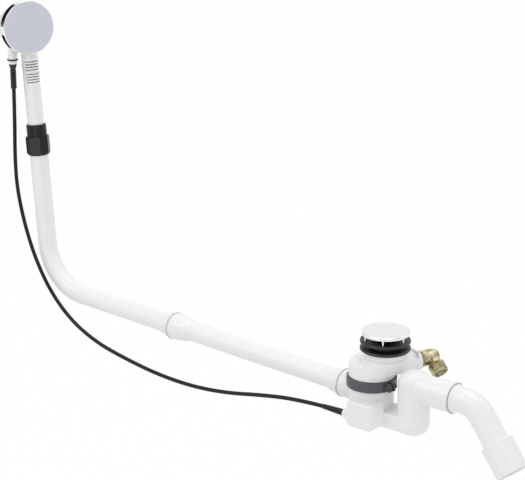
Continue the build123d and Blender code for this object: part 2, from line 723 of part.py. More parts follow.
def clamp_ring():
    inner = LEG_WALL_RADIUS + SEAT
    groove_low = LOWER_FLANGE_Z - CLAMP_FLANGE_PLATE - SEAT
    groove_high = UPPER_FLANGE_Z + CLAMP_FLANGE_PLATE + SEAT
    band = turned(CLAMP, [
        (inner, CLAMP_BOTTOM),
        (CLAMP_RADIUS - BEVEL, CLAMP_BOTTOM),
        (CLAMP_RADIUS, CLAMP_BOTTOM + BEVEL),
        (CLAMP_RADIUS, CLAMP_TOP - BEVEL),
        (CLAMP_RADIUS - BEVEL, CLAMP_TOP),
        (inner, CLAMP_TOP),
        (inner, groove_high),
        (CLAMP_FLANGE + SEAT, groove_high),
        (CLAMP_FLANGE + SEAT, groove_low),
        (inner, groove_low),
    ])
    half = CLAMP_SLOT / 2 + EAR_PLATE
    ear_low = CLAMP_MIDDLE - EAR_HEIGHT / 2
    ear_high = CLAMP_MIDDLE + EAR_HEIGHT / 2
    ear_end = CLAMP_RADIUS + EAR_REACH
    ears = block((CLAMP_FLANGE + BEVEL, -half, ear_low), (ear_end, half, ear_high))
    slot_low = (0, -CLAMP_SLOT / 2, CLAMP_BOTTOM - OVERCUT)
    slot = block(slot_low, (ear_end + OVERCUT, CLAMP_SLOT / 2, CLAMP_TOP + OVERCUT))
    hole = Plane((EAR_MIDDLE, 0, CLAMP_MIDDLE), z_dir=(0, 1, 0))
    drilled = rod(hole, CLAMP_SCREW + SEAT, -half - OVERCUT, half + OVERCUT)
    return band + CLAMP.location * ears - CLAMP.location * (slot + drilled)


def clamp_screw():
    half = CLAMP_SLOT / 2 + EAR_PLATE
    axis = Plane((EAR_MIDDLE, 0, CLAMP_MIDDLE), z_dir=(0, 1, 0))
    head = -half - CLAMP_HEAD_HEIGHT
    screw = rod(axis, CLAMP_SCREW, -half, half + CLAMP_SCREW_TAIL)
    screw += rod(axis, CLAMP_HEAD, head, -half)
    screw -= rod(axis, CLAMP_KEY, head, head + CLAMP_KEY)
    return CLAMP.location * screw


def clamp_nut():
    half = CLAMP_SLOT / 2 + EAR_PLATE
    axis = Plane((EAR_MIDDLE, half, CLAMP_MIDDLE), z_dir=(0, 1, 0))
    nut = axis * extrude(RegularPolygon(CLAMP_HEAD, 6), CLAMP_NUT_HEIGHT)
    return CLAMP.location * (nut - rod(axis, CLAMP_SCREW + SEAT / 2, 0, CLAMP_NUT_HEIGHT))


def body_seal():
    outer = CLAMP_FLANGE - BODY_SEAL_INSET
    return ring(BOWL, outer, LEG_WALL_RADIUS - BODY_WALL, LOWER_FLANGE_Z, UPPER_FLANGE_Z)


# Trap: two legs joined by a bottom channel, with sockets for the overflow and the outlet
TRAP_LEG_BORE = LEG_WALL_RADIUS - TRAP_WALL
RISER_BORE = RISER_RADIUS - TRAP_WALL
OUTLET_BORE = OUTLET_RADIUS - OUTLET_WALL


def channel(inset):
    """Rounded trough between the feet of the two legs."""
    half = CHANNEL_WIDTH / 2 - inset
    low = (BOWL_OFFSET, -half, TRAP_BOTTOM + inset)
    trough = block(low, (RISER_X, half, CHANNEL_TOP - inset))
    bottom = trough.edges().filter_by(Axis.X).sort_by(Axis.Z)[:2]
    return fillet(bottom, CHANNEL_WIDTH / 3 - inset)


def trap_leg(radius, top, inset):
    """Upright leg under the clamp with a well rounded foot."""
    leg = rod(BOWL, radius, TRAP_BOTTOM + inset, top)
    return fillet(leg.edges().sort_by(Axis.Z)[0], TRAP_ROUND - inset)


def riser(radius, reach):
    """Rising leg with a rounded foot and crown, turning into the horizontal outlet."""
    inset = RISER_RADIUS - radius
    axis = Plane((RISER_X, 0, 0), z_dir=(0, 0, 1))
    pipe = rod(axis, radius, TRAP_BOTTOM + inset, RISER_TOP - inset)
    pipe = fillet(pipe.edges().filter_by(GeomType.CIRCLE), TRAP_ROUND - inset)
    return pipe + rod(OUTLET, min(radius, reach), RISER_X - OUTLET_JOINT, -OUTLET_DEPTH)


def chamber_outside():
    """Moulded box on the front of the leg with a funnel for the cable's ferrule."""
    low = (CHAMBER_LEFT, CHAMBER_FRONT, CHAMBER_BOTTOM)
    box = block(low, (CHAMBER_RIGHT, CHAMBER_ROOT, CHAMBER_TOP))
    box = fillet(box.edges().filter_by(Axis.Y), CHAMBER_EDGE)
    funnel = turned(WIRE, [
        (0, FUNNEL_TIP),
        (FUNNEL_NARROW, FUNNEL_TIP),
        (FUNNEL_NARROW, FUNNEL_TIP + FUNNEL_NECK),
        (FUNNEL_WIDE, CHAMBER_LEFT - FUNNEL_LAND),
        (FUNNEL_WIDE, CHAMBER_LEFT),
        (0, CHAMBER_LEFT),
    ])
    front_low = (FUNNEL_TIP - OVERCUT, CHAMBER_FRONT - FUNNEL_WIDE, CHAMBER_BOTTOM)
    front = block(front_low, (CHAMBER_LEFT, CHAMBER_FRONT, CHAMBER_TOP))
    root = rod(WIRE, FUNNEL_NARROW - BEVEL, CHAMBER_LEFT - BEVEL, CHAMBER_LEFT + CHAMBER_WALL)
    return box + (funnel - front) + root


def chamber_room(inset, front, back):
    """Upright space inside the chamber's walls, drawn in by an inset."""
    side = CHAMBER_WALL + inset
    low = (CHAMBER_LEFT + side, front, CHAMBER_BOTTOM + side)
    return block(low, (CHAMBER_RIGHT - side, back, CHAMBER_TOP - side))


def chamber_inside():
    """Room for the crank and the wire, the ferrule's bore and the shaft's bearing."""
    room = chamber_room(0.0, CHAMBER_FRONT, CHAMBER_BACK)
    room += rod(WIRE, FERRULE_SPIGOT + SEAT, FUNNEL_TIP, FUNNEL_TIP + FERRULE_DEPTH + SEAT)
    room += rod(WIRE, WIRE_RADIUS + SLIP, FUNNEL_TIP, CHAMBER_LEFT + CHAMBER_WALL)
    return room


SHAFT_SEAL_START = CHAMBER_BACK + SHAFT_SEAL_BACK
SHAFT_SEAL_END = SHAFT_SEAL_START + SHAFT_SEAL_WIDTH


def trap_body():
    body = trap_leg(LEG_WALL_RADIUS, LOWER_FLANGE_Z, 0.0)
    body += rod(BOWL, CLAMP_FLANGE, LOWER_FLANGE_Z - CLAMP_FLANGE_PLATE, LOWER_FLANGE_Z)
    body += channel(0.0)
    body += riser(RISER_RADIUS, OUTLET_SOCKET - BEVEL)
    body += rod(OUTLET, OUTLET_SOCKET, -OUTLET_DEPTH - OUTLET_STOP, 0)
    throat_end = RUN_LENGTH + SOCKET_DEPTH
    socket = rod(RUN, SOCKET_RADIUS, RUN_LENGTH, throat_end)
    body += socket - rod(BOWL, CLAMP_RADIUS + SLIP, CLAMP_BOTTOM - SLIP, CLAMP_TOP)
    body += chamber_outside()
    bearing = rod(SHAFT, HUB_RADIUS + BEARING_WALL, CHAMBER_BACK, BEARING_BACK)
    inside = trap_leg(TRAP_LEG_BORE, LOWER_FLANGE_Z, TRAP_WALL)
    inside += channel(TRAP_WALL)
    inside += riser(RISER_BORE, OUTLET_BORE)
    inside += rod(OUTLET, OUTLET_RADIUS + SLIP, -OUTLET_DEPTH - SEAT, 0)
    throat = Plane(CORNER - Vector(0, 0, THROAT_DROP), z_dir=RUN_DIRECTION)
    inside += rod(throat, THROAT_RADIUS, RUN_LENGTH, throat_end)
    inside += rod(RUN, PIPE_RADIUS + SEAT, RUN_LENGTH, RUN_LENGTH + TRAP_SOCKET_DEPTH + SEAT)
    inside += seal_room(RUN, RUN_LENGTH, PIPE_RADIUS)
    inside += rod(OUTLET, OUTLET_RADIUS + OUTLET_SEAL + SEAT, *OUTLET_SEAL_PLACE)
    body = body - inside + bearing
    body -= chamber_inside()
    body -= rod(SHAFT, SHAFT_RADIUS + RUN_FIT, CHAMBER_BACK - OVERCUT, BEARING_BACK + OVERCUT)
    return body - rod(SHAFT, HUB_RADIUS + SEAT, SHAFT_SEAL_START, SHAFT_SEAL_END)


# Actuator cover: dished lid that snaps on the front of the chamber with an inner lip
def actuator_cover():
    low = (CHAMBER_LEFT, CHAMBER_FRONT - COVER_PLATE, CHAMBER_BOTTOM)
    lid = block(low, (CHAMBER_RIGHT, CHAMBER_FRONT, CHAMBER_TOP))
    lid = fillet(lid.edges().filter_by(Axis.Y), CHAMBER_EDGE)
    lid = fillet(lid.faces().sort_by(Axis.Y)[0].edges(), COVER_ROUND)
    lip_end = CHAMBER_FRONT + COVER_LIP_DEPTH
    lid += chamber_room(SEAT, CHAMBER_FRONT, lip_end)
    dish = CHAMBER_FRONT - COVER_PLATE + COVER_SKIN
    return lid - chamber_room(SEAT + COVER_LIP, dish, lip_end)


# Rocker: shaft through the leg's wall, crank in the chamber, lifter in the water way
CRANK_FRONT = WIRE_DEPTH - BLOCK_WIDTH / 2 - SLIP - CRANK_PLATE
SHAFT_FRONT = CRANK_FRONT - SLIP
LIFTER_HALF = LIFTER_WIDTH / 2


def rocker_shaft():
    return rod(SHAFT, SHAFT_RADIUS, SHAFT_FRONT, LIFTER_HALF + BEVEL)


def rocker_crank():
    tilt = Plane(SHAFT.origin, x_dir=(cos(REST_ROCK), 0, sin(REST_ROCK)), z_dir=(0, -1, 0))
    reach = CRANK_ARM + CRANK_TIP
    outline = RectangleRounded(2 * HUB_RADIUS, reach + HUB_RADIUS, HUB_RADIUS - FINE_BEVEL)
    plate = extrude(Pos(0, -(reach - HUB_RADIUS) / 2, 0) * outline, CRANK_PLATE)
    half = BLOCK_PIN + 2 * SLIP
    slot_low = (-half, -reach - OVERCUT, -OVERCUT)
    slot = block(slot_low, (half, CRANK_SLOT - CRANK_ARM, CRANK_PLATE + OVERCUT))
    front = Pos(0, 0, -CRANK_FRONT - CRANK_PLATE)
    crank = tilt.location * front * (plate - slot)
    crank += rod(SHAFT, HUB_RADIUS, CRANK_FRONT, CHAMBER_BACK - SLIP)
    return crank - rod(SHAFT, SHAFT_RADIUS + SEAT / 2, SHAFT_FRONT - OVERCUT, CHAMBER_BACK)


def lifter_arm():
    hub = rod(SHAFT, HUB_RADIUS, -LIFTER_HALF, LIFTER_HALF)
    tilt = Plane(SHAFT.origin, x_dir=(cos(REST_ROCK), 0, sin(REST_ROCK)), z_dir=(0, -1, 0))
    arm = tilt.location * Pos(LIFTER_REACH / 2, 0, 0) * Box(LIFTER_REACH, LIFTER_ARM, LIFTER_WIDTH)
    tip = Plane((FINGER_X, 0, FINGER_Z), z_dir=(0, 1, 0))
    lifter = hub + arm + rod(tip, LIFTER_FINGER, -LIFTER_HALF, LIFTER_HALF)
    return lifter - rod(SHAFT, SHAFT_RADIUS + SEAT / 2, -LIFTER_HALF, LIFTER_HALF)


def shaft_seal():
    start = SHAFT_SEAL_START + SEAT
    return ring(SHAFT, HUB_RADIUS, SHAFT_RADIUS + RUN_FIT, start, SHAFT_SEAL_END - SEAT)


# Inner wire of the cable with the end block that turns the crank
def inner_wire():
    half = BLOCK_LENGTH / 2
    low = (WIRE_X - half, WIRE_DEPTH - BLOCK_WIDTH / 2, WIRE_HEIGHT - BLOCK_HEIGHT / 2)
    high = (WIRE_X + half, WIRE_DEPTH + BLOCK_WIDTH / 2, WIRE_HEIGHT + BLOCK_HEIGHT / 2)
    pin = Plane((WIRE_X, 0, WIRE_HEIGHT), z_dir=(0, 1, 0))
    wire = block(low, high)
    wire += rod(pin, BLOCK_PIN, CRANK_FRONT, WIRE_DEPTH)
    return wire + rod(WIRE, WIRE_RADIUS, FUNNEL_TIP - FERRULE_LENGTH / 2, WIRE_X)


# Ferrule: black end piece that holds the cable's sheath in the chamber's funnel
def cable_ferrule():
    tip = FUNNEL_TIP - FERRULE_LENGTH
    taper_start, taper_end = FERRULE_TAPER
    return turned(WIRE, [
        (WIRE_RADIUS + SLIP, tip),
        (FERRULE_TIP, tip),
        (FERRULE_TIP, tip + taper_start),
        (FERRULE_RADIUS, tip + taper_end),
        (FERRULE_RADIUS, FUNNEL_TIP - FERRULE_COLLAR),
        (FERRULE_RADIUS + BEVEL, FUNNEL_TIP - FERRULE_COLLAR),
        (FERRULE_RADIUS + BEVEL, FUNNEL_TIP),
        (FERRULE_SPIGOT, FUNNEL_TIP),
        (FERRULE_SPIGOT, FUNNEL_TIP + FERRULE_DEPTH),
        (WIRE_RADIUS + SLIP, FUNNEL_TIP + FERRULE_DEPTH),
    ])


# Cable sheath: free tube between the boot and the ferrule, each arc as large as its runs allow
def bowden_cable():
    boot = Vector(STUB.X, STUB.Y, BOOT_END - CABLE_GAP)
    ferrule = Vector(FUNNEL_TIP - FERRULE_LENGTH - CABLE_GAP, WIRE_DEPTH, WIRE_HEIGHT)
    points = [boot + Vector(*point) for point in CABLE_FROM_BOOT]
    points += [ferrule + Vector(*point) for point in CABLE_FROM_FERRULE]
    runs = [after - before for before, after in zip(points, points[1:])]
    radii = []
    for before, after in zip(runs, runs[1:]):
        half_turn = radians(before.get_angle(after) / 2)
        radii.append(ARC_SHARE * min(before.length, after.length) / tan(half_turn))
    print("cable radii", [round(radius) for radius in radii])
    path = FilletPolyline(*points, radius=radii)
    cable = sweep(Plane(path @ 0, z_dir=path % 0) * Circle(CABLE_RADIUS), path=path)
    share = cable.volume / (pi * CABLE_RADIUS ** 2 * path.length)
    print("cable length", round(path.length, 1), "volume share", round(share, 4))
    return cable


# Overflow pipes: riser with bend, and the second half of the run
def overflow_bend():
    top = CORNER + RISER_DIRECTION * UNION_TOP
    end = CORNER + RUN_DIRECTION * (MID_JOINT - SOCKET_TAPER)
    pipe = swept((top, CORNER, end), PIPE_RADIUS, BEND_RADIUS)
    pipe += rod(RISER, THREAD_RADIUS, THREAD_BOTTOM, UNION_TOP)
    pipe += male_end(RUN, MID_JOINT, SOCKET_DEPTH)
    pipe -= rod(RISER, UPPER_RADIUS + SLIP, BEND_RADIUS, UNION_TOP)
    return pipe - swept((top, CORNER, end + RUN_DIRECTION), PIPE_BORE, BEND_RADIUS)


def overflow_run():
    bell_end = MID_JOINT + SOCKET_DEPTH + BELL_LAND
    pipe_end = RUN_LENGTH - SOCKET_TAPER
    bell = turned(RUN, [
        (PIPE_BORE, MID_JOINT + SOCKET_DEPTH + SEAT),
        (PIPE_RADIUS + SEAT, MID_JOINT + SOCKET_DEPTH + SEAT),
        (PIPE_RADIUS + SEAT, MID_JOINT),
        (SOCKET_RADIUS, MID_JOINT),
        (SOCKET_RADIUS, MID_JOINT + SEAL_START + SEAL_WIDTH + BELL_LAND),
        (PIPE_RADIUS + BELL_SHOULDER, bell_end),
        (PIPE_RADIUS, bell_end + BELL_TAPER),
        (PIPE_BORE, bell_end + BELL_TAPER),
    ])
    pipe = bell + ring(RUN, PIPE_RADIUS, PIPE_BORE, bell_end + BELL_TAPER - OVERCUT, pipe_end)
    pipe += male_end(RUN, RUN_LENGTH, TRAP_SOCKET_DEPTH)
    return pipe - seal_room(RUN, MID_JOINT, PIPE_RADIUS)


# Union: eight-sided nut, collet and rubber ring that grip the telescopic pipe
COLLET_BOTTOM = UNION_TOP + SEAT + UNION_SEAL + SEAT
NUT_SHOULDER = COLLET_BOTTOM + COLLET_FLANGE + SEAT


def union_nut():
    nut_top = NUT_SHOULDER + UNION_NUT_LIP
    relief = THREAD_RADIUS + SEAT + FINE_BEVEL
    nut = turned(RISER, [
        (THREAD_RADIUS + SEAT, UNION_BOTTOM),
        (UNION_FOOT, UNION_BOTTOM),
        (UNION_NUT, UNION_BOTTOM + UNION_CONE),
        (UNION_NUT, nut_top - BEVEL),
        (UNION_NUT - BEVEL, nut_top),
        (COLLET_RADIUS + SEAT, nut_top),
        (COLLET_RADIUS + SEAT, NUT_SHOULDER),
        (relief, NUT_SHOULDER),
        (relief, UNION_TOP),
        (THREAD_RADIUS + SEAT, UNION_TOP),
    ])
    foot = RISER.offset(UNION_BOTTOM)
    flats = RegularPolygon(UNION_NUT, UNION_FLATS, rotation=UNION_TURN)
    return nut & extrude(foot * flats, nut_top - UNION_BOTTOM)


def union_collet():
    top = NUT_SHOULDER + UNION_NUT_LIP + COLLET_HEIGHT
    inner = UPPER_RADIUS + RUN_FIT
    return turned(RISER, [
        (inner, COLLET_BOTTOM),
        (THREAD_RADIUS + COLLET_BEAD, COLLET_BOTTOM),
        (THREAD_RADIUS + COLLET_BEAD, COLLET_BOTTOM + COLLET_FLANGE),
        (COLLET_RADIUS, COLLET_BOTTOM + COLLET_FLANGE),
        (COLLET_RADIUS, top - COLLET_TAPER),
        (COLLET_RADIUS - BEVEL, top),
        (inner, top),
    ])


def union_seal():
    start = UNION_TOP + SEAT
    return ring(RISER, THREAD_RADIUS, UPPER_RADIUS + RUN_FIT, start, start + UNION_SEAL)


# Overflow body: moulded chamber, telescopic pipe with grip grooves, socket for the cable
def head_rod(radius, start, end, y=0.0, z=0.0):
    """Cylinder along the knob's axis, at a place beside it."""
    plane = Plane(HEAD.from_local_coords((0, y, z)), x_dir=RISER_DIRECTION, z_dir=HEAD_FRONT)
    return rod(plane, radius, start, end)


HEAD_SCREW_PLACES = [(KNOB_AXIS, HEAD_SCREW_CIRCLE), (KNOB_AXIS, -HEAD_SCREW_CIRCLE)]
PIPE_END = UNION_TOP - UPPER_INSERT - HEAD_UP
BOSS_FRONT = HOUSING_FRONT - HEAD_SLEEVE_DEPTH + HEAD_GASKET + BATH_SHEET - SLIP


def grip_grooves():
    """Short grooves across the pipe that leave a plain strip on one side."""
    cuts = []
    root = UPPER_RADIUS - GRIP_DEPTH
    for group in range(GRIP_GROUPS):
        for step in range(GRIP_GROOVES):
            low = -GRIP_TOP - group * GRIP_GROUP_STEP - step * GRIP_PITCH
            cuts.append(ring(HEAD, UPPER_RADIUS + OVERCUT, root, low - GRIP_WIDTH, low))
    depth = GRIP_GROUPS * GRIP_GROUP_STEP
    strip_low = (-UPPER_RADIUS, -2 * UPPER_RADIUS, -GRIP_TOP - depth)
    strip = block(strip_low, (GRIP_STRIP, UPPER_WALL - UPPER_RADIUS, -GRIP_TOP))
    return Compound(children=[cut - HEAD.location * strip for cut in cuts])


def overflow_body():
    shell = rod(KNOB, HOUSING_RADIUS, HOUSING_BACK, HOUSING_FRONT)
    back = shell.edges().sort_by(lambda edge: edge.center().dot(HEAD_FRONT))[0]
    shell = fillet(back, HOUSING_ROUND)
    shell += rod(KNOB, HOUSING_FLANGE, HOUSING_FRONT - HOUSING_WALL, HOUSING_FRONT)
    pipe = Plane(HEAD.origin, x_dir=-HEAD.y_dir, z_dir=RISER_DIRECTION)
    shell += rod(pipe, UPPER_RADIUS, PIPE_END, 0)
    shell += rod(STUB_AXIS, STUB_RADIUS, STUB_END, STUB.Z + STUB_DROP / 3)
    room = rod(KNOB, HOUSING_RADIUS - HOUSING_WALL, HOUSING_BACK + HOUSING_WALL, HOUSING_FRONT)
    room += rod(HEAD, UPPER_RADIUS - UPPER_WALL, PIPE_END, 0)
    room += rod(STUB_AXIS, ADJUSTER_SPIGOT + SEAT, STUB_END, STUB.Z + STUB_DROP / 3)
    body = shell - room
    for y, z in HEAD_SCREW_PLACES:
        body += head_rod(HEAD_BOSS, HOUSING_BACK + FINE_BEVEL, BOSS_FRONT, y, z)
        body -= head_rod(HEAD_SCREW + SEAT, BOSS_FRONT - HEAD_SCREW_LENGTH, BOSS_FRONT, y, z)
    return body - grip_grooves()


def overflow_gasket():
    return ring(KNOB, HOUSING_FLANGE - GASKET_INSET, HEAD_SLEEVE + SLIP, HOUSING_FRONT, GASKET_FACE)


# Overflow flange: ring in front of the bath wall, sleeve through the hole, bush for the spindle
SLEEVE_BACK = BOSS_FRONT + SLIP


def overflow_flange():
    inner = HEAD_SLEEVE - HEAD_SLEEVE_WALL
    flange = ring(KNOB, HEAD_FLANGE_RADIUS, inner, HEAD_FLANGE_BACK, HEAD_FLANGE_FRONT)
    flange += ring(KNOB, HEAD_SLEEVE, inner, SLEEVE_BACK, HEAD_FLANGE_FRONT)
    flange += rod(KNOB, HEAD_BUSH, SLEEVE_BACK, HEAD_FLANGE_FRONT)
    plane = KNOB.location * Pos(0, 0, SLEEVE_BACK + HEAD_SPOKE / 2)
    spoke = plane * Pos(HEAD_SLEEVE / 2, 0, 0) * Box(HEAD_SLEEVE - BEVEL, 2 * HEAD_BOSS, HEAD_SPOKE)
    for arm in around(KNOB, HEAD_SPOKES, spoke):
        flange += arm
    for y, z in HEAD_SCREW_PLACES:
        flange -= head_rod(HEAD_SCREW + SEAT, SLEEVE_BACK, HEAD_FLANGE_FRONT, y, z)
    return flange - rod(KNOB, SPINDLE_RADIUS + RUN_FIT, SLEEVE_BACK, HEAD_FLANGE_FRONT)


def flange_screws():
    screws = []
    seat = SLEEVE_BACK + HEAD_SPOKE
    for y, z in HEAD_SCREW_PLACES:
        screw = head_rod(HEAD_SCREW, BOSS_FRONT - HEAD_SCREW_LENGTH + HEAD_SCREW_SPARE, seat, y, z)
        screw += head_rod(HEAD_SCREW_HEAD, seat, seat + HEAD_SCREW_TOP, y, z)
        screws.append(screw)
    return Compound(children=screws)


# Knob: chromed hollow rosette, turned by hand, with its spindle and the drum for the wire
def overflow_knob():
    rim = KNOB_FACE - KNOB_DOME
    knob = domed(KNOB, KNOB_RADIUS, KNOB_BACK, rim, KNOB_DOME, KNOB_EDGE)
    knob -= rod(KNOB, KNOB_RADIUS - KNOB_WALL, KNOB_BACK, rim - 2 * KNOB_WALL)
    knob += rod(KNOB, KNOB_HUB, HEAD_FLANGE_FRONT + SLIP, rim - KNOB_WALL)
    return knob - rod(KNOB, SPINDLE_RADIUS + SEAT / 2, HEAD_FLANGE_FRONT, rim - 2 * KNOB_WALL)


DRUM_FRONT = SLEEVE_BACK - SLIP


def knob_spindle():
    back = DRUM_FRONT - DRUM_WIDTH - BEVEL
    return rod(KNOB, SPINDLE_RADIUS, back, KNOB_FACE - KNOB_DOME - 2 * KNOB_WALL)


def cable_drum():
    back = DRUM_FRONT - DRUM_WIDTH
    inner = SPINDLE_RADIUS + SEAT / 2
    return turned(KNOB, [
        (inner, back),
        (DRUM_RADIUS, back),
        (DRUM_RADIUS, back + DRUM_RIM),
        (DRUM_GROOVE, back + DRUM_RIM + BEVEL),
        (DRUM_GROOVE, DRUM_FRONT - DRUM_RIM - BEVEL),
        (DRUM_RADIUS, DRUM_FRONT - DRUM_RIM),
        (DRUM_RADIUS, DRUM_FRONT),
        (inner, DRUM_FRONT),
    ])


# Upper end of the cable: adjuster, lock nut and ribbed boot, hanging plumb from the socket
def cable_adjuster():
    return turned(STUB_AXIS, [
        (WIRE_RADIUS + SLIP, ADJUSTER_END),
        (ADJUSTER_RADIUS, ADJUSTER_END),
        (ADJUSTER_RADIUS, NUT_END),
        (ADJUSTER_SPIGOT, NUT_END),
        (ADJUSTER_SPIGOT, STUB.Z),
        (WIRE_RADIUS + SLIP, STUB.Z),
    ])


def adjuster_nut():
    return ring(STUB_AXIS, ADJUSTER_NUT, ADJUSTER_SPIGOT + SEAT, NUT_END, STUB_END)


def upper_boot():
    step = (BOOT_LENGTH - BOOT_CONE) / BOOT_RIBS
    neck = BOOT_RIB - BEVEL
    rise, fall = BOOT_RIB_SHARE
    profile = [(WIRE_RADIUS + SLIP, ADJUSTER_END), (BOOT_WIDE, ADJUSTER_END)]
    profile += [(BOOT_WIDE, ADJUSTER_END - BEVEL)]
    for index in range(BOOT_RIBS):
        top = ADJUSTER_END - BOOT_CONE - index * step
        profile += [(neck, top), (BOOT_RIB, top - rise * step), (BOOT_RIB, top - fall * step)]
    profile += [(neck, BOOT_END), (WIRE_RADIUS + SLIP, BOOT_END)]
    return turned(STUB_AXIS, profile)


# Outlet: bend with collar, sleeve to the next pipe size, and the two rubber rings
SLEEVE_SEAL_PLACE = [SLEEVE_START + offset for offset in SLEEVE_SEAL_OFFSETS]


def outlet_bend():
    spout_end = OUTLET_TURN + OUTLET_FALL * (SLEEVE_START + SLEEVE_OVERLAP)
    start = OUTLET_START - Vector(OUTLET_DEPTH, 0, 0)
    bend = swept((start, OUTLET_TURN, spout_end), OUTLET_RADIUS, OUTLET_BEND_RADIUS)
    bend += turned(OUTLET, [
        (0, SLIP),
        (OUTLET_COLLAR - FINE_BEVEL, SLIP),
        (OUTLET_COLLAR, SLIP + FINE_BEVEL),
        (OUTLET_COLLAR, OUTLET_LAND),
        (OUTLET_RADIUS, OUTLET_NECK),
        (0, OUTLET_NECK),
    ])
    return bend - swept((start, OUTLET_TURN, spout_end), OUTLET_BORE, OUTLET_BEND_RADIUS)


def outlet_seal():
    start, end = OUTLET_SEAL_PLACE
    return ring(OUTLET, OUTLET_RADIUS + OUTLET_SEAL, OUTLET_RADIUS + RUN_FIT, start + SEAT, end - SEAT)


def outlet_sleeve():
    inner = OUTLET_RADIUS + SEAT
    overlap = SLEEVE_START + SLEEVE_OVERLAP + SEAT
    sleeve = turned(SPOUT, [
        (inner, SLEEVE_START),
        (SLEEVE_RADIUS - BEVEL, SLEEVE_START),
        (SLEEVE_RADIUS, SLEEVE_START + BEVEL),
        (SLEEVE_RADIUS, SLEEVE_END - SLEEVE_TAPER),
        (SLEEVE_RADIUS - BEVEL, SLEEVE_END),
        (SLEEVE_RADIUS - OUTLET_WALL, SLEEVE_END),
        (SLEEVE_RADIUS - OUTLET_WALL, overlap + SLEEVE_STEP),
        (OUTLET_BORE, overlap),
        (inner, overlap),
    ])
    start, end = SLEEVE_SEAL_PLACE
    return sleeve - rod(SPOUT, inner + OUTLET_SEAL, start, end)


def sleeve_seal():
    start, end = SLEEVE_SEAL_PLACE
    return ring(SPOUT, OUTLET_RADIUS + OUTLET_SEAL, OUTLET_RADIUS + RUN_FIT, start + SEAT, end - SEAT)


PIECES = {
    "waste_cover": waste_cover,
    "waste_flange": waste_flange,
    "waste_gasket": waste_gasket,
    "valve_plug": valve_plug,
    "valve_seal": valve_seal,
    "lift_pin": lift_pin,
    "upper_body": upper_body,
    "inlet_elbow": inlet_elbow,
    "inlet_seals": inlet_seals,
    "inlet_clip": inlet_clip,
    "clamp_ring": clamp_ring,
    "clamp_screw": clamp_screw,
    "clamp_nut": clamp_nut,
    "body_seal": body_seal,
    "trap_body": trap_body,
    "actuator_cover": actuator_cover,
    "rocker_shaft": rocker_shaft,
    "rocker_crank": rocker_crank,
    "lifter_arm": lifter_arm,
    "shaft_seal": shaft_seal,
    "inner_wire": inner_wire,
    "cable_ferrule": cable_ferrule,
    "bowden_cable": bowden_cable,
    "overflow_bend": overflow_bend,
    "mid_seal": lambda: lip_seal(RUN, MID_JOINT, PIPE_RADIUS),
    "overflow_run": overflow_run,
    "run_seal": lambda: lip_seal(RUN, RUN_LENGTH, PIPE_RADIUS),
    "union_nut": union_nut,
    "union_collet": union_collet,
    "union_seal": union_seal,
    "overflow_body": overflow_body,
    "overflow_gasket": overflow_gasket,
    "overflow_flange": overflow_flange,
    "flange_screws": flange_screws,
    "overflow_knob": overflow_knob,
    "knob_spindle": knob_spindle,
    "cable_drum": cable_drum,
    "cable_adjuster": cable_adjuster,
    "adjuster_nut": adjuster_nut,
    "upper_boot": upper_boot,
    "outlet_bend": outlet_bend,
    "outlet_seal": outlet_seal,
    "outlet_sleeve": outlet_sleeve,
    "sleeve_seal": sleeve_seal,
}

os.makedirs("parts", exist_ok=True)
for name, make in PIECES.items():
    export_step(make(), os.path.join("parts", name + ".step"))
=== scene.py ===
import bpy
import numpy as np
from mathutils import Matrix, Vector


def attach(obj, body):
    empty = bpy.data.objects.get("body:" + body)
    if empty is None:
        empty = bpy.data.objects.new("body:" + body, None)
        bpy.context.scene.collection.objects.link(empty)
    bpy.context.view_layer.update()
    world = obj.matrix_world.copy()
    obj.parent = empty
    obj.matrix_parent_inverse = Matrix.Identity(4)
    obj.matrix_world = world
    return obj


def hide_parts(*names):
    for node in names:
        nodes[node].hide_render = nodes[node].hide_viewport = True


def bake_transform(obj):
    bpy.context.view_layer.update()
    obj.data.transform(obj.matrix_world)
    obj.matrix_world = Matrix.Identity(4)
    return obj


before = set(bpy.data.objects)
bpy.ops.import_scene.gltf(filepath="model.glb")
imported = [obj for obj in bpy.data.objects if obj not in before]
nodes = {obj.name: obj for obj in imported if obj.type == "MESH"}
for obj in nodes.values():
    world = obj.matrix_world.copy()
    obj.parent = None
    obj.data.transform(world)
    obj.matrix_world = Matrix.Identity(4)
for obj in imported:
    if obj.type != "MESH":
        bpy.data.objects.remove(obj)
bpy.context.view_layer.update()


# White mouldings: overflow pipes, trap, waste body, outlet and the chamber of the overflow.
# They are injection moulded in white polypropylene and pushed or clamped together on rubber rings, so they
# show a satin skin with a soft orange peel and a fine ridge where the mould halves met. The roots of the
# grip grooves in the upper pipe carry a painted grey shade that stands in for the shade that falls in them.
def linear(colour):
    """Turns a six-digit sRGB hex colour into linear red, green, blue and full alpha."""
    share = np.array([int(colour[i:i + 2], 16) for i in (0, 2, 4)]) / 255
    flat = np.where(share <= 0.04045, share / 12.92, ((share + 0.055) / 1.055) ** 2.4)
    return [*flat.tolist(), 1.0]


def add(material, kind, values=None, links=None):
    """Adds one node of a kind to a material, with its values by name or place and its inputs linked."""
    node = material.node_tree.nodes.new(kind)
    for name, value in (values or {}).items():
        if isinstance(name, int) or name in node.inputs:
            node.inputs[name].default_value = value
        else:
            setattr(node, name, value)
    for name, socket in (links or {}).items():
        material.node_tree.links.new(socket, node.inputs[name])
    return node


def blank(name):
    """Starts a material with no nodes of its own."""
    material = bpy.data.materials.new(name)
    material.use_nodes = True
    material.node_tree.nodes.clear()
    return material


def spot(material):
    """Place of the shaded point in the shared frame, in metres."""
    return add(material, "ShaderNodeTexCoord").outputs["Object"]


def noise(material, size_mm, detail):
    """Noise with patches of about a size in millimetres, and finer ones within them up to a detail."""
    return add(material, "ShaderNodeTexNoise", {"Scale": 1000 / size_mm, "Detail": detail},
               {"Vector": spot(material)}).outputs["Fac"]


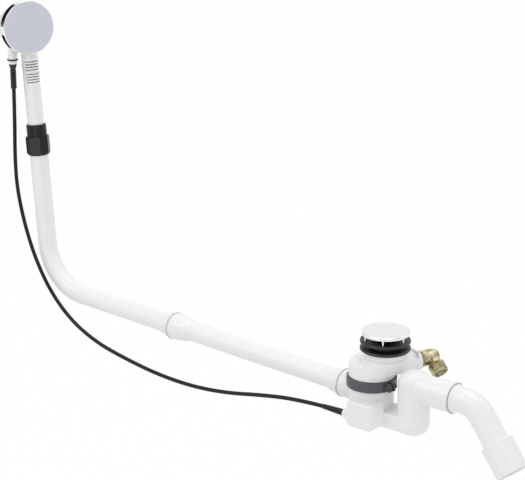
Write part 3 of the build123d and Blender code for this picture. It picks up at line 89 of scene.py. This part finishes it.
def maths(material, operation, *terms):
    """One step of arithmetic on terms that are each a number or another node's output."""
    numbers = {place: term for place, term in enumerate(terms) if isinstance(term, float)}
    sockets = {place: term for place, term in enumerate(terms) if place not in numbers}
    return add(material, "ShaderNodeMath", {"operation": operation, **numbers}, sockets).outputs[0]


def colours(material, share, low, high):
    """Colour that goes from a low one to a high one with a share."""
    return add(material, "ShaderNodeMix", {"data_type": "RGBA", 6: linear(low), 7: linear(high)},
               {0: share}).outputs[2]


def levels(material, share, low, high):
    """Number that goes from a low one to a high one with a share."""
    return add(material, "ShaderNodeMapRange", {"To Min": low, "To Max": high}, {"Value": share}).outputs[0]


def bumps(material, height, strength, depth_mm, under=None):
    """Normal that follows a height, for bumps of a strength and a depth in millimetres on any under them."""
    links = {"Height": height} if under is None else {"Height": height, "Normal": under}
    return add(material, "ShaderNodeBump", {"Strength": strength, "Distance": depth_mm / 1000},
               links).outputs[0]


def coat(material, values, links):
    """Gives a material its surface, with constant values and linked inputs by name."""
    shader = add(material, "ShaderNodeBsdfPrincipled", values, links)
    add(material, "ShaderNodeOutputMaterial", None, {"Surface": shader.outputs[0]})


def wear(material, *names):
    """Puts a material on CAD nodes in place of the plain one."""
    for name in names:
        nodes[name].data.materials.clear()
        nodes[name].data.materials.append(material)


PEEL_MM = 1.6
PEEL_SHARE = 0.25
CLOUD_MM = 60.0
SEAM_MM = 0.5
HEAD_PIPE = (-0.761241, 0.0, 0.394262)
PIPE_WAY = (-0.087156, 0.0, 0.996195)
GRIP_TOP_MM = 61.0
GRIP_LENGTH_MM = 37.5
GRIP_GROUP_MM = 21.3
GRIP_GROUP_END_MM = 16.0
GRIP_PITCH_MM = 4.6
GRIP_WIDTH_MM = 1.7
GRIP_REACH_MM = 13.4
white = blank("moulded white polypropylene")
cloud = noise(white, CLOUD_MM, detail=3.0)
from_head = add(white, "ShaderNodeVectorMath", {"operation": "SUBTRACT", 1: HEAD_PIPE},
                {0: spot(white)}).outputs[0]
height = add(white, "ShaderNodeVectorMath", {"operation": "DOT_PRODUCT", 1: PIPE_WAY},
             {0: from_head}).outputs["Value"]
beside = add(white, "ShaderNodeVectorMath", {"operation": "CROSS_PRODUCT", 1: PIPE_WAY}, {0: from_head})
reach = add(white, "ShaderNodeVectorMath", {"operation": "LENGTH"}, {0: beside.outputs[0]}).outputs["Value"]
# Painted shade: points at the roots of the grip grooves, inside the grip and its two groups, are marked for
# grey.
down = maths(white, "MULTIPLY_ADD", height, -1000.0, -GRIP_TOP_MM)
group = maths(white, "MODULO", down, GRIP_GROUP_MM)
groove = maths(white, "MODULO", group, GRIP_PITCH_MM)
painted_groove_shade = maths(white, "GREATER_THAN", down, 0.0)
for measure, limit in ((down, GRIP_LENGTH_MM), (group, GRIP_GROUP_END_MM), (groove, GRIP_WIDTH_MM),
                       (reach, GRIP_REACH_MM / 1000)):
    painted_groove_shade = maths(white, "MULTIPLY", painted_groove_shade, maths(white, "LESS_THAN", measure, limit))
# The painted groove shade turns the white over to grey 6a6d70 at the groove roots.
white_with_painted_shade = add(white, "ShaderNodeMix", {"data_type": "RGBA", 7: linear("6a6d70")},
           {0: painted_groove_shade, 6: colours(white, cloud, "f3f3f2", "f8f8f8")}).outputs[2]
across = add(white, "ShaderNodeSeparateXYZ", None, {0: spot(white)}).outputs["Y"]
seam = add(white, "ShaderNodeMapRange", {"From Max": SEAM_MM / 1000, "To Min": 1.0, "To Max": 0.0},
           {"Value": maths(white, "ABSOLUTE", across)}).outputs[0]
relief = maths(white, "MULTIPLY_ADD", noise(white, PEEL_MM, detail=2.0), PEEL_SHARE, seam)
coat(white, {"IOR": 1.49}, {"Base Color": white_with_painted_shade, "Roughness": levels(white, cloud, 0.30, 0.40),
                            "Normal": bumps(white, relief, strength=0.18, depth_mm=0.2)})
wear(white, "upper_body", "trap_body", "actuator_cover", "overflow_bend", "overflow_run", "overflow_body",
     "outlet_bend", "outlet_sleeve", "cable_adjuster")


# Bright fittings: the cap on its legs, the turning rosette and the flange that clamps the bath wall.
# Brass and zinc are polished and chrome plated, so they mirror the room with hardly any grain.
BUFF_MM = 25.0
chrome = blank("polished chrome plate")
coat(chrome, {"Base Color": linear("e8eaec"), "Metallic": 1.0},
     {"Roughness": levels(chrome, noise(chrome, BUFF_MM, detail=4.0), 0.05, 0.12)})
wear(chrome, "waste_cover", "overflow_knob", "overflow_flange")


# Rubber: the grooved ring round the waste hole, the overflow gasket, the sealing rings and the cable boot.
# Black EPDM is compression moulded, which leaves a dull skin with a grey bloom and a fine grain, drawn
# coarser than it is so that it shows.
GRAIN_MM = 0.7
BLOOM_MM = 18.0
rubber = blank("black EPDM rubber")
bloom = noise(rubber, BLOOM_MM, detail=4.0)
coat(rubber, {"IOR": 1.52, "Specular IOR Level": 0.45},
     {"Base Color": colours(rubber, bloom, "101113", "212225"),
      "Roughness": levels(rubber, bloom, 0.28, 0.42),
      "Normal": bumps(rubber, noise(rubber, GRAIN_MM, detail=2.0), strength=0.25, depth_mm=0.1)})
wear(rubber, "waste_gasket", "valve_seal", "inlet_seals", "body_seal", "shaft_seal", "mid_seal", "run_seal",
     "union_seal", "overflow_gasket", "outlet_seal", "sleeve_seal", "upper_boot")


# Clamp ring: one split band that draws the waste body and the trap together with a screw and its nut.
# All three are moulded in dark grey glass-filled nylon, which has a dull skin that the fibres mottle. The
# fibres are drawn coarser than they are.
FIBRE_MM = 1.2
nylon = blank("glass-filled dark grey nylon")
fibre = noise(nylon, FIBRE_MM, detail=5.0)
coat(nylon, {"IOR": 1.53, "Roughness": 0.45},
     {"Base Color": colours(nylon, fibre, "434449", "525359"),
      "Normal": bumps(nylon, fibre, strength=0.2, depth_mm=0.1)})
wear(nylon, "clamp_ring", "clamp_screw", "clamp_nut")


# Dark fittings: union nut, collet, ferrule and lock nut, and the flange and valve in the waste hole.
# They are moulded in black polypropylene. The tool is spark eroded, so the black has a fine even grain,
# drawn coarser than it is.
SPARK_MM = 0.9
black = blank("black polypropylene")
spark = noise(black, SPARK_MM, detail=3.0)
coat(black, {"IOR": 1.49, "Roughness": 0.28, "Specular IOR Level": 0.3},
     {"Base Color": colours(black, spark, "0e0f12", "18191d"),
      "Normal": bumps(black, spark, strength=0.2, depth_mm=0.1)})
wear(black, "union_nut", "union_collet", "cable_ferrule", "adjuster_nut", "waste_flange", "valve_plug")


# Water inlet: hot-pressed brass elbow with a turned spigot and a turned mouth for the supply nut.
# The pressed skin is left as it comes, a dull gold with a sandy grain and browner hollows, and the mouth
# carries the ridges of a three-quarter-inch pipe thread.
SAND_MM = 0.8
STAIN_MM = 13.0
STAIN_EDGES = (0.35, 0.65)
THREAD_PITCH_MM = 1.814
THREAD_MIDDLE_MM = 23.0
THREAD_HALF_MM = 7.5
MOUTH_CORNER = (0.0292769, 0.0804377, -0.0334)
MOUTH_AXIS = (0.760227, -0.2767, -0.587785)
brass = blank("hot-pressed brass")
stain = noise(brass, STAIN_MM, detail=4.0)
patch = add(brass, "ShaderNodeMapRange", {"From Min": STAIN_EDGES[0], "From Max": STAIN_EDGES[1]},
            {"Value": stain}).outputs[0]
from_corner = add(brass, "ShaderNodeVectorMath", {"operation": "SUBTRACT", 1: MOUTH_CORNER}, {0: spot(brass)})
along = add(brass, "ShaderNodeVectorMath", {"operation": "DOT_PRODUCT", 1: MOUTH_AXIS},
            {0: from_corner.outputs[0]}).outputs["Value"]
ridge = maths(brass, "SINE", maths(brass, "MULTIPLY", along, 2 * np.pi * 1000 / THREAD_PITCH_MM))
cut = maths(brass, "COMPARE", along, THREAD_MIDDLE_MM / 1000, THREAD_HALF_MM / 1000)
thread = bumps(brass, maths(brass, "MULTIPLY", ridge, cut), strength=0.8, depth_mm=0.5)
sand = bumps(brass, noise(brass, SAND_MM, detail=3.0), strength=0.12, depth_mm=0.2, under=thread)
coat(brass, {"Metallic": 1.0}, {"Base Color": colours(brass, patch, "766c38", "d8cdaa"),
                                "Roughness": levels(brass, stain, 0.16, 0.34), "Normal": sand})
wear(brass, "inlet_elbow")


# Small steel: lift pin, spring clip, flange screws, shaft, wire and spindle, of stainless steel.
# They are drawn or stamped, which leaves a silky grey with fine marks, made coarser here so that they show.
DRAW_MM = 0.6
steel = blank("drawn stainless steel")
coat(steel, {"Base Color": linear("dedfe1"), "Metallic": 1.0},
     {"Roughness": levels(steel, noise(steel, DRAW_MM, detail=2.0), 0.36, 0.50)})
wear(steel, "lift_pin", "inlet_clip", "rocker_shaft", "inner_wire", "flange_screws", "knob_spindle")


# Working parts: crank, lifter and cable drum, moulded in natural acetal and pushed on their shafts.
# Acetal is waxy and a little see-through, so its pale skin is soft and nearly without grain.
WAX_MM = 6.0


def acetal(name, low, high):
    """Acetal of a name, with soft waxy clouds between two colours."""
    material = blank(name)
    coat(material, {"IOR": 1.48, "Roughness": 0.36},
         {"Base Color": colours(material, noise(material, WAX_MM, detail=3.0), low, high)})
    return material


wear(acetal("natural acetal", "d2d1cb", "e2e1dc"), "rocker_crank", "lifter_arm", "cable_drum")


# Cable: black plastic sheath over a wound steel liner, free between the boot and the ferrule.
# Its line is one smooth curve that the points of the route pull along, and the round sheath is extruded,
# so it is carried along that line.
CABLE_RADIUS = 0.00325
CABLE_SIDES = 20
CABLE_STEPS = 12
TIP_SHARE = 0.01
BOOT_MM = (-768.575, -27.439, 287.306)
FERRULE_MM = (-85.2, -40.0, -107.5)
FROM_BOOT_MM = [
    (0.0, 0.0, 0.0), (-1.0, 0.3, -52.3), (-5.0, 0.9, -119.3), (-3.5, 1.5, -175.3),
    (10.5, 2.1, -235.3), (34.5, 2.3, -295.3), (71.5, 2.2, -350.3), (121.5, 1.7, -391.3),
]
FROM_FERRULE_MM = [
    (-498.7, 10.6, -19.5), (-428.7, 9.0, -31.5), (-352.7, 7.4, -40.0), (-274.7, 5.9, -40.5),
    (-198.7, 4.4, -31.5), (-126.7, 3.0, -15.5), (-56.7, 1.6, -3.5), (0.0, 0.0, 0.0),
]
cable_route = np.vstack([np.array(BOOT_MM) + FROM_BOOT_MM, np.array(FERRULE_MM) + FROM_FERRULE_MM]) / 1000


def route_line(points, steps):
    """Points along the third-order spline that takes the route's points as its control points."""
    curve = bpy.data.curves.new("route", "CURVE")
    curve.dimensions = "3D"
    spline = curve.splines.new("NURBS")
    spline.points.add(len(points) - 1)
    spline.points.foreach_set("co", np.column_stack([points, np.ones(len(points))]).ravel())
    spline.order_u = 3
    spline.use_endpoint_u = True
    spline.resolution_u = steps
    holder = bpy.data.objects.new("route", curve)
    drawn = bpy.data.meshes.new_from_object(holder)
    line = np.zeros(len(drawn.vertices) * 3, np.float32)
    drawn.vertices.foreach_get("co", line)
    bpy.data.objects.remove(holder)
    bpy.data.curves.remove(curve)
    bpy.data.meshes.remove(drawn)
    return line.reshape(-1, 3).astype(float)


def surface(name, grid, material, closed=False):
    """Mesh of a grid of points whose columns go around and join up, as its rows do on a closed one."""
    rows, columns = grid.shape[:2]
    index = np.arange(rows * columns).reshape(rows, columns)
    if closed:
        index = np.vstack([index, index[:1]])
    index = np.hstack([index, index[:, :1]])
    faces = np.stack([index[:-1, :-1], index[:-1, 1:], index[1:, 1:], index[1:, :-1]], axis=-1)
    mesh = bpy.data.meshes.new(name)
    mesh.from_pydata(grid.reshape(-1, 3), [], faces.reshape(-1, 4))
    mesh.polygons.foreach_set("use_smooth", np.ones(len(mesh.polygons), bool))
    mesh.materials.append(material)
    piece = bpy.data.objects.new(name, mesh)
    bpy.context.collection.objects.link(piece)
    return piece


def tube(line, radius, sides):
    """Circle of a radius carried along a line, standing square to it, with both ends drawn in to a point."""
    heading = np.gradient(line, axis=0)
    heading /= np.linalg.norm(heading, axis=1)[:, None]
    up = np.array([0.0, 1.0, 0.0]) - heading * heading[:, 1:2]
    up /= np.linalg.norm(up, axis=1)[:, None]
    out = np.cross(heading, up)
    turn = np.linspace(0, 2 * np.pi, sides, endpoint=False)[None, :, None]
    rows = np.concatenate([[0], np.arange(len(line)), [len(line) - 1]])
    wide = np.full((len(rows), 1, 1), radius)
    wide[[0, -1]] *= TIP_SHARE
    return line[rows][:, None] + wide * (np.cos(turn) * out[rows][:, None] + np.sin(turn) * up[rows][:, None])


DRAG_MM = 1.1
sheath = blank("black extruded sheath")
coat(sheath, {"IOR": 1.5, "Roughness": 0.42, "Specular IOR Level": 0.25},
     {"Base Color": colours(sheath, noise(sheath, DRAG_MM, detail=2.0), "0e0f10", "191a1c")})
cable_line = route_line(cable_route, CABLE_STEPS)
cable = surface("cable_sheath", tube(cable_line, CABLE_RADIUS, CABLE_SIDES), sheath)
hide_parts("bowden_cable")
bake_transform(cable)


# Joint lips: the round edges of the thin rings that keep the rubber in the mouths of the three sockets.
# Each is moulded in acetal, snaps into its socket and stands a little out of the joint all the way round; its
# grey tint is partly painted shade for the gaps of the joints. The outlet's pipe turns inside its ring.
RUN_LIP = (0.0215, 0.0014)
OUTLET_LIP = (0.0229, 0.001)
RUN_WAY = np.array((0.99961, 0.0, -0.027922))
OUTLET_WAY = np.array((1.0, 0.0, 0.0))
LIP_STEPS = 96
LIP_SIDES = 10
JOINT_LIPS = (
    ("mid_joint_lip", (-0.429615, 0.0, -0.068156), RUN_WAY, RUN_LIP),
    ("run_joint_lip", (-0.07575, 0.0, -0.07804), RUN_WAY, RUN_LIP),
    ("outlet_joint_lip", (0.129, 0.0, -0.0505), OUTLET_WAY, OUTLET_LIP),
)


def hoop(centre, way, radius, thick):
    """Torus: a small circle of a thickness carried round a large one that stands square to a way."""
    side = np.cross(way, [0.0, 1.0, 0.0])
    side /= np.linalg.norm(side)
    rise = np.cross(way, side)
    turn = np.linspace(0, 2 * np.pi, LIP_STEPS, endpoint=False)[:, None, None]
    small = np.linspace(0, 2 * np.pi, LIP_SIDES, endpoint=False)[None, :, None]
    out = np.cos(turn) * side + np.sin(turn) * rise
    return np.array(centre) + out * (radius + thick * np.cos(small)) + way * thick * np.sin(small)


# Painted shade: the lips' acetal is greyer than the natural one, to stand in for the shade in the joint gaps.
lip_acetal_with_painted_shade = acetal("acetal lip with painted joint shade", "c3c5c7", "cfd1d3")
for name, centre, way, (radius, thick) in JOINT_LIPS:
    lip = surface(name, hoop(centre, way, radius, thick), lip_acetal_with_painted_shade, closed=True)
    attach(lip, "waste_and_pipe")


# Studio floor and air: one pale sheet of paper far below the set, in white air that lights it evenly.
# The camera and reflections see both as plain white, and the floor keeps a trace of the shadow.
FLOOR_DEPTH = -0.55
FLOOR_HALF = 12.0
FLOOR_GLOW = 0.985
AIR_LIGHT = 0.62
CORNERS = np.array([(-1.0, -1.0), (1.0, -1.0), (1.0, 1.0), (-1.0, 1.0)])


def seen_by(material, *kinds):
    """One for rays of any of these kinds, and nought for the others."""
    rays = add(material, "ShaderNodeLightPath")
    seen = rays.outputs[kinds[0]]
    for kind in kinds[1:]:
        seen = maths(material, "MAXIMUM", seen, rays.outputs[kind])
    return seen


def sheet(name, corners, material):
    """Flat sheet of a material between four corners."""
    mesh = bpy.data.meshes.new(name)
    mesh.from_pydata(corners, [], [(0, 1, 2, 3)])
    mesh.materials.append(material)
    holder = bpy.data.objects.new(name, mesh)
    bpy.context.collection.objects.link(holder)
    return holder


paper = blank("white studio paper")
lit = add(paper, "ShaderNodeBsdfDiffuse", {"Color": linear("f4f4f4")})
glow = add(paper, "ShaderNodeEmission", {"Color": linear("ffffff"), "Strength": 1.0})
share = maths(paper, "MULTIPLY", seen_by(paper, "Is Camera Ray", "Is Glossy Ray"), FLOOR_GLOW)
mixed = add(paper, "ShaderNodeMixShader", None, {0: share, 1: lit.outputs[0], 2: glow.outputs[0]})
add(paper, "ShaderNodeOutputMaterial", None, {"Surface": mixed.outputs[0]})
floor = sheet("studio_floor", np.column_stack([CORNERS * FLOOR_HALF, np.full(4, FLOOR_DEPTH)]), paper)

world = bpy.data.worlds.new("studio air")
world.use_nodes = True
world.node_tree.nodes.clear()
seen = seen_by(world, "Is Camera Ray", "Is Glossy Ray", "Is Transmission Ray")
back = add(world, "ShaderNodeBackground", {"Color": linear("ffffff")},
           {"Strength": levels(world, seen, AIR_LIGHT, 1.0)})
add(world, "ShaderNodeOutputWorld", None, {"Surface": back.outputs[0]})
bpy.context.scene.world = world


# Studio light: four square soft lamps, and boards that only reflections see.
# The pale cards grey the chrome and the bright strip lights one flat of the union nut, while the black flags
# stand close to the rosette and give its rim the dark bands of polished plate.
CARD_GREY = "d9dae2"
FLAG_BLACK = "101012"


def lamp(name, at, aim, width, watts):
    """Square soft lamp at a place, turned to face another place."""
    data = bpy.data.lights.new(name, "AREA")
    data.size = width
    data.energy = watts
    holder = bpy.data.objects.new(name, data)
    holder.location = at
    holder.rotation_euler = (Vector(aim) - Vector(at)).to_track_quat("-Z", "Y").to_euler()
    bpy.context.collection.objects.link(holder)


def card(name, at, facing, width, height, colour, strength=1.0):
    """Flat board round a place, square to the way it faces, that only reflections see."""
    facing = np.array(facing) / np.linalg.norm(facing)
    right = np.cross([0.0, 0.0, 1.0], facing)
    right /= np.linalg.norm(right)
    rise = np.cross(facing, right)
    paint = blank(name + " paint")
    shine = add(paint, "ShaderNodeEmission", {"Color": linear(colour), "Strength": strength})
    add(paint, "ShaderNodeOutputMaterial", None, {"Surface": shine.outputs[0]})
    half = CORNERS / 2
    holder = sheet(name, np.array(at) + half[:, :1] * width * right + half[:, 1:] * height * rise, paint)
    holder.visible_camera = False
    holder.visible_diffuse = False
    holder.visible_shadow = False


card("grey_card", at=(2.6, 0.2, 0.3), facing=(-1.0, 0.0, 0.0), width=2.4, height=2.6, colour=CARD_GREY)
card("near_card", at=(-0.8, -3.4, 0.1), facing=(0.0, 1.0, 0.0), width=2.4, height=1.8, colour=CARD_GREY)
card("side_card", at=(-0.9, 3.2, 0.2), facing=(0.0, -1.0, 0.0), width=2.0, height=1.6, colour=CARD_GREY)
card("bright_strip", at=(-0.06, -1.55, -0.05), facing=(-0.4, 1.0, 0.2), width=0.34, height=0.7,
     colour="ffffff", strength=3.0)
card("upper_flag", at=(-1.14, 0.04, 0.485), facing=(1.0, 0.0, 0.0), width=0.26, height=0.246,
     colour=FLAG_BLACK)
card("lower_flag", at=(-1.14, 0.04, 0.18), facing=(1.0, 0.0, 0.0), width=0.24, height=0.144,
     colour=FLAG_BLACK)
card("edge_flag", at=(-0.841, -0.175, 0.56), facing=(-0.08, 0.65, -0.75), width=0.38, height=0.36,
     colour=FLAG_BLACK)
lamp("soft_key", at=(-1.6, -2.4, 2.6), aim=(-0.35, 0.0, 0.0), width=1.6, watts=27.0)
lamp("soft_top", at=(-0.3, 0.5, 3.0), aim=(-0.3, 0.0, 0.0), width=1.6, watts=20.0)
lamp("soft_fill", at=(2.6, -1.2, 1.4), aim=(-0.2, 0.0, 0.0), width=1.4, watts=10.0)
lamp("soft_back", at=(0.9, 2.4, 2.4), aim=(0.0, 0.0, 0.0), width=1.4, watts=8.0)


# Camera: a long lens at the height of someone who looks down on the set from its front right.
EYE = Vector((1.57955, -2.16970, 1.01155))
LOOK = Vector((-0.613037, 0.730593, -0.300706))
SENSOR_MM = 36.0
FOCAL_PX = 1900
PICTURE_PX = 525
camera = bpy.data.objects.new("camera", bpy.data.cameras.new("camera"))
camera.data.sensor_width = SENSOR_MM
camera.data.lens = SENSOR_MM * FOCAL_PX / PICTURE_PX
camera.location = EYE
camera.rotation_euler = LOOK.to_track_quat("-Z", "Y").to_euler()
bpy.context.collection.objects.link(camera)
bpy.context.scene.camera = camera
bpy.context.scene.view_settings.view_transform = "Standard"
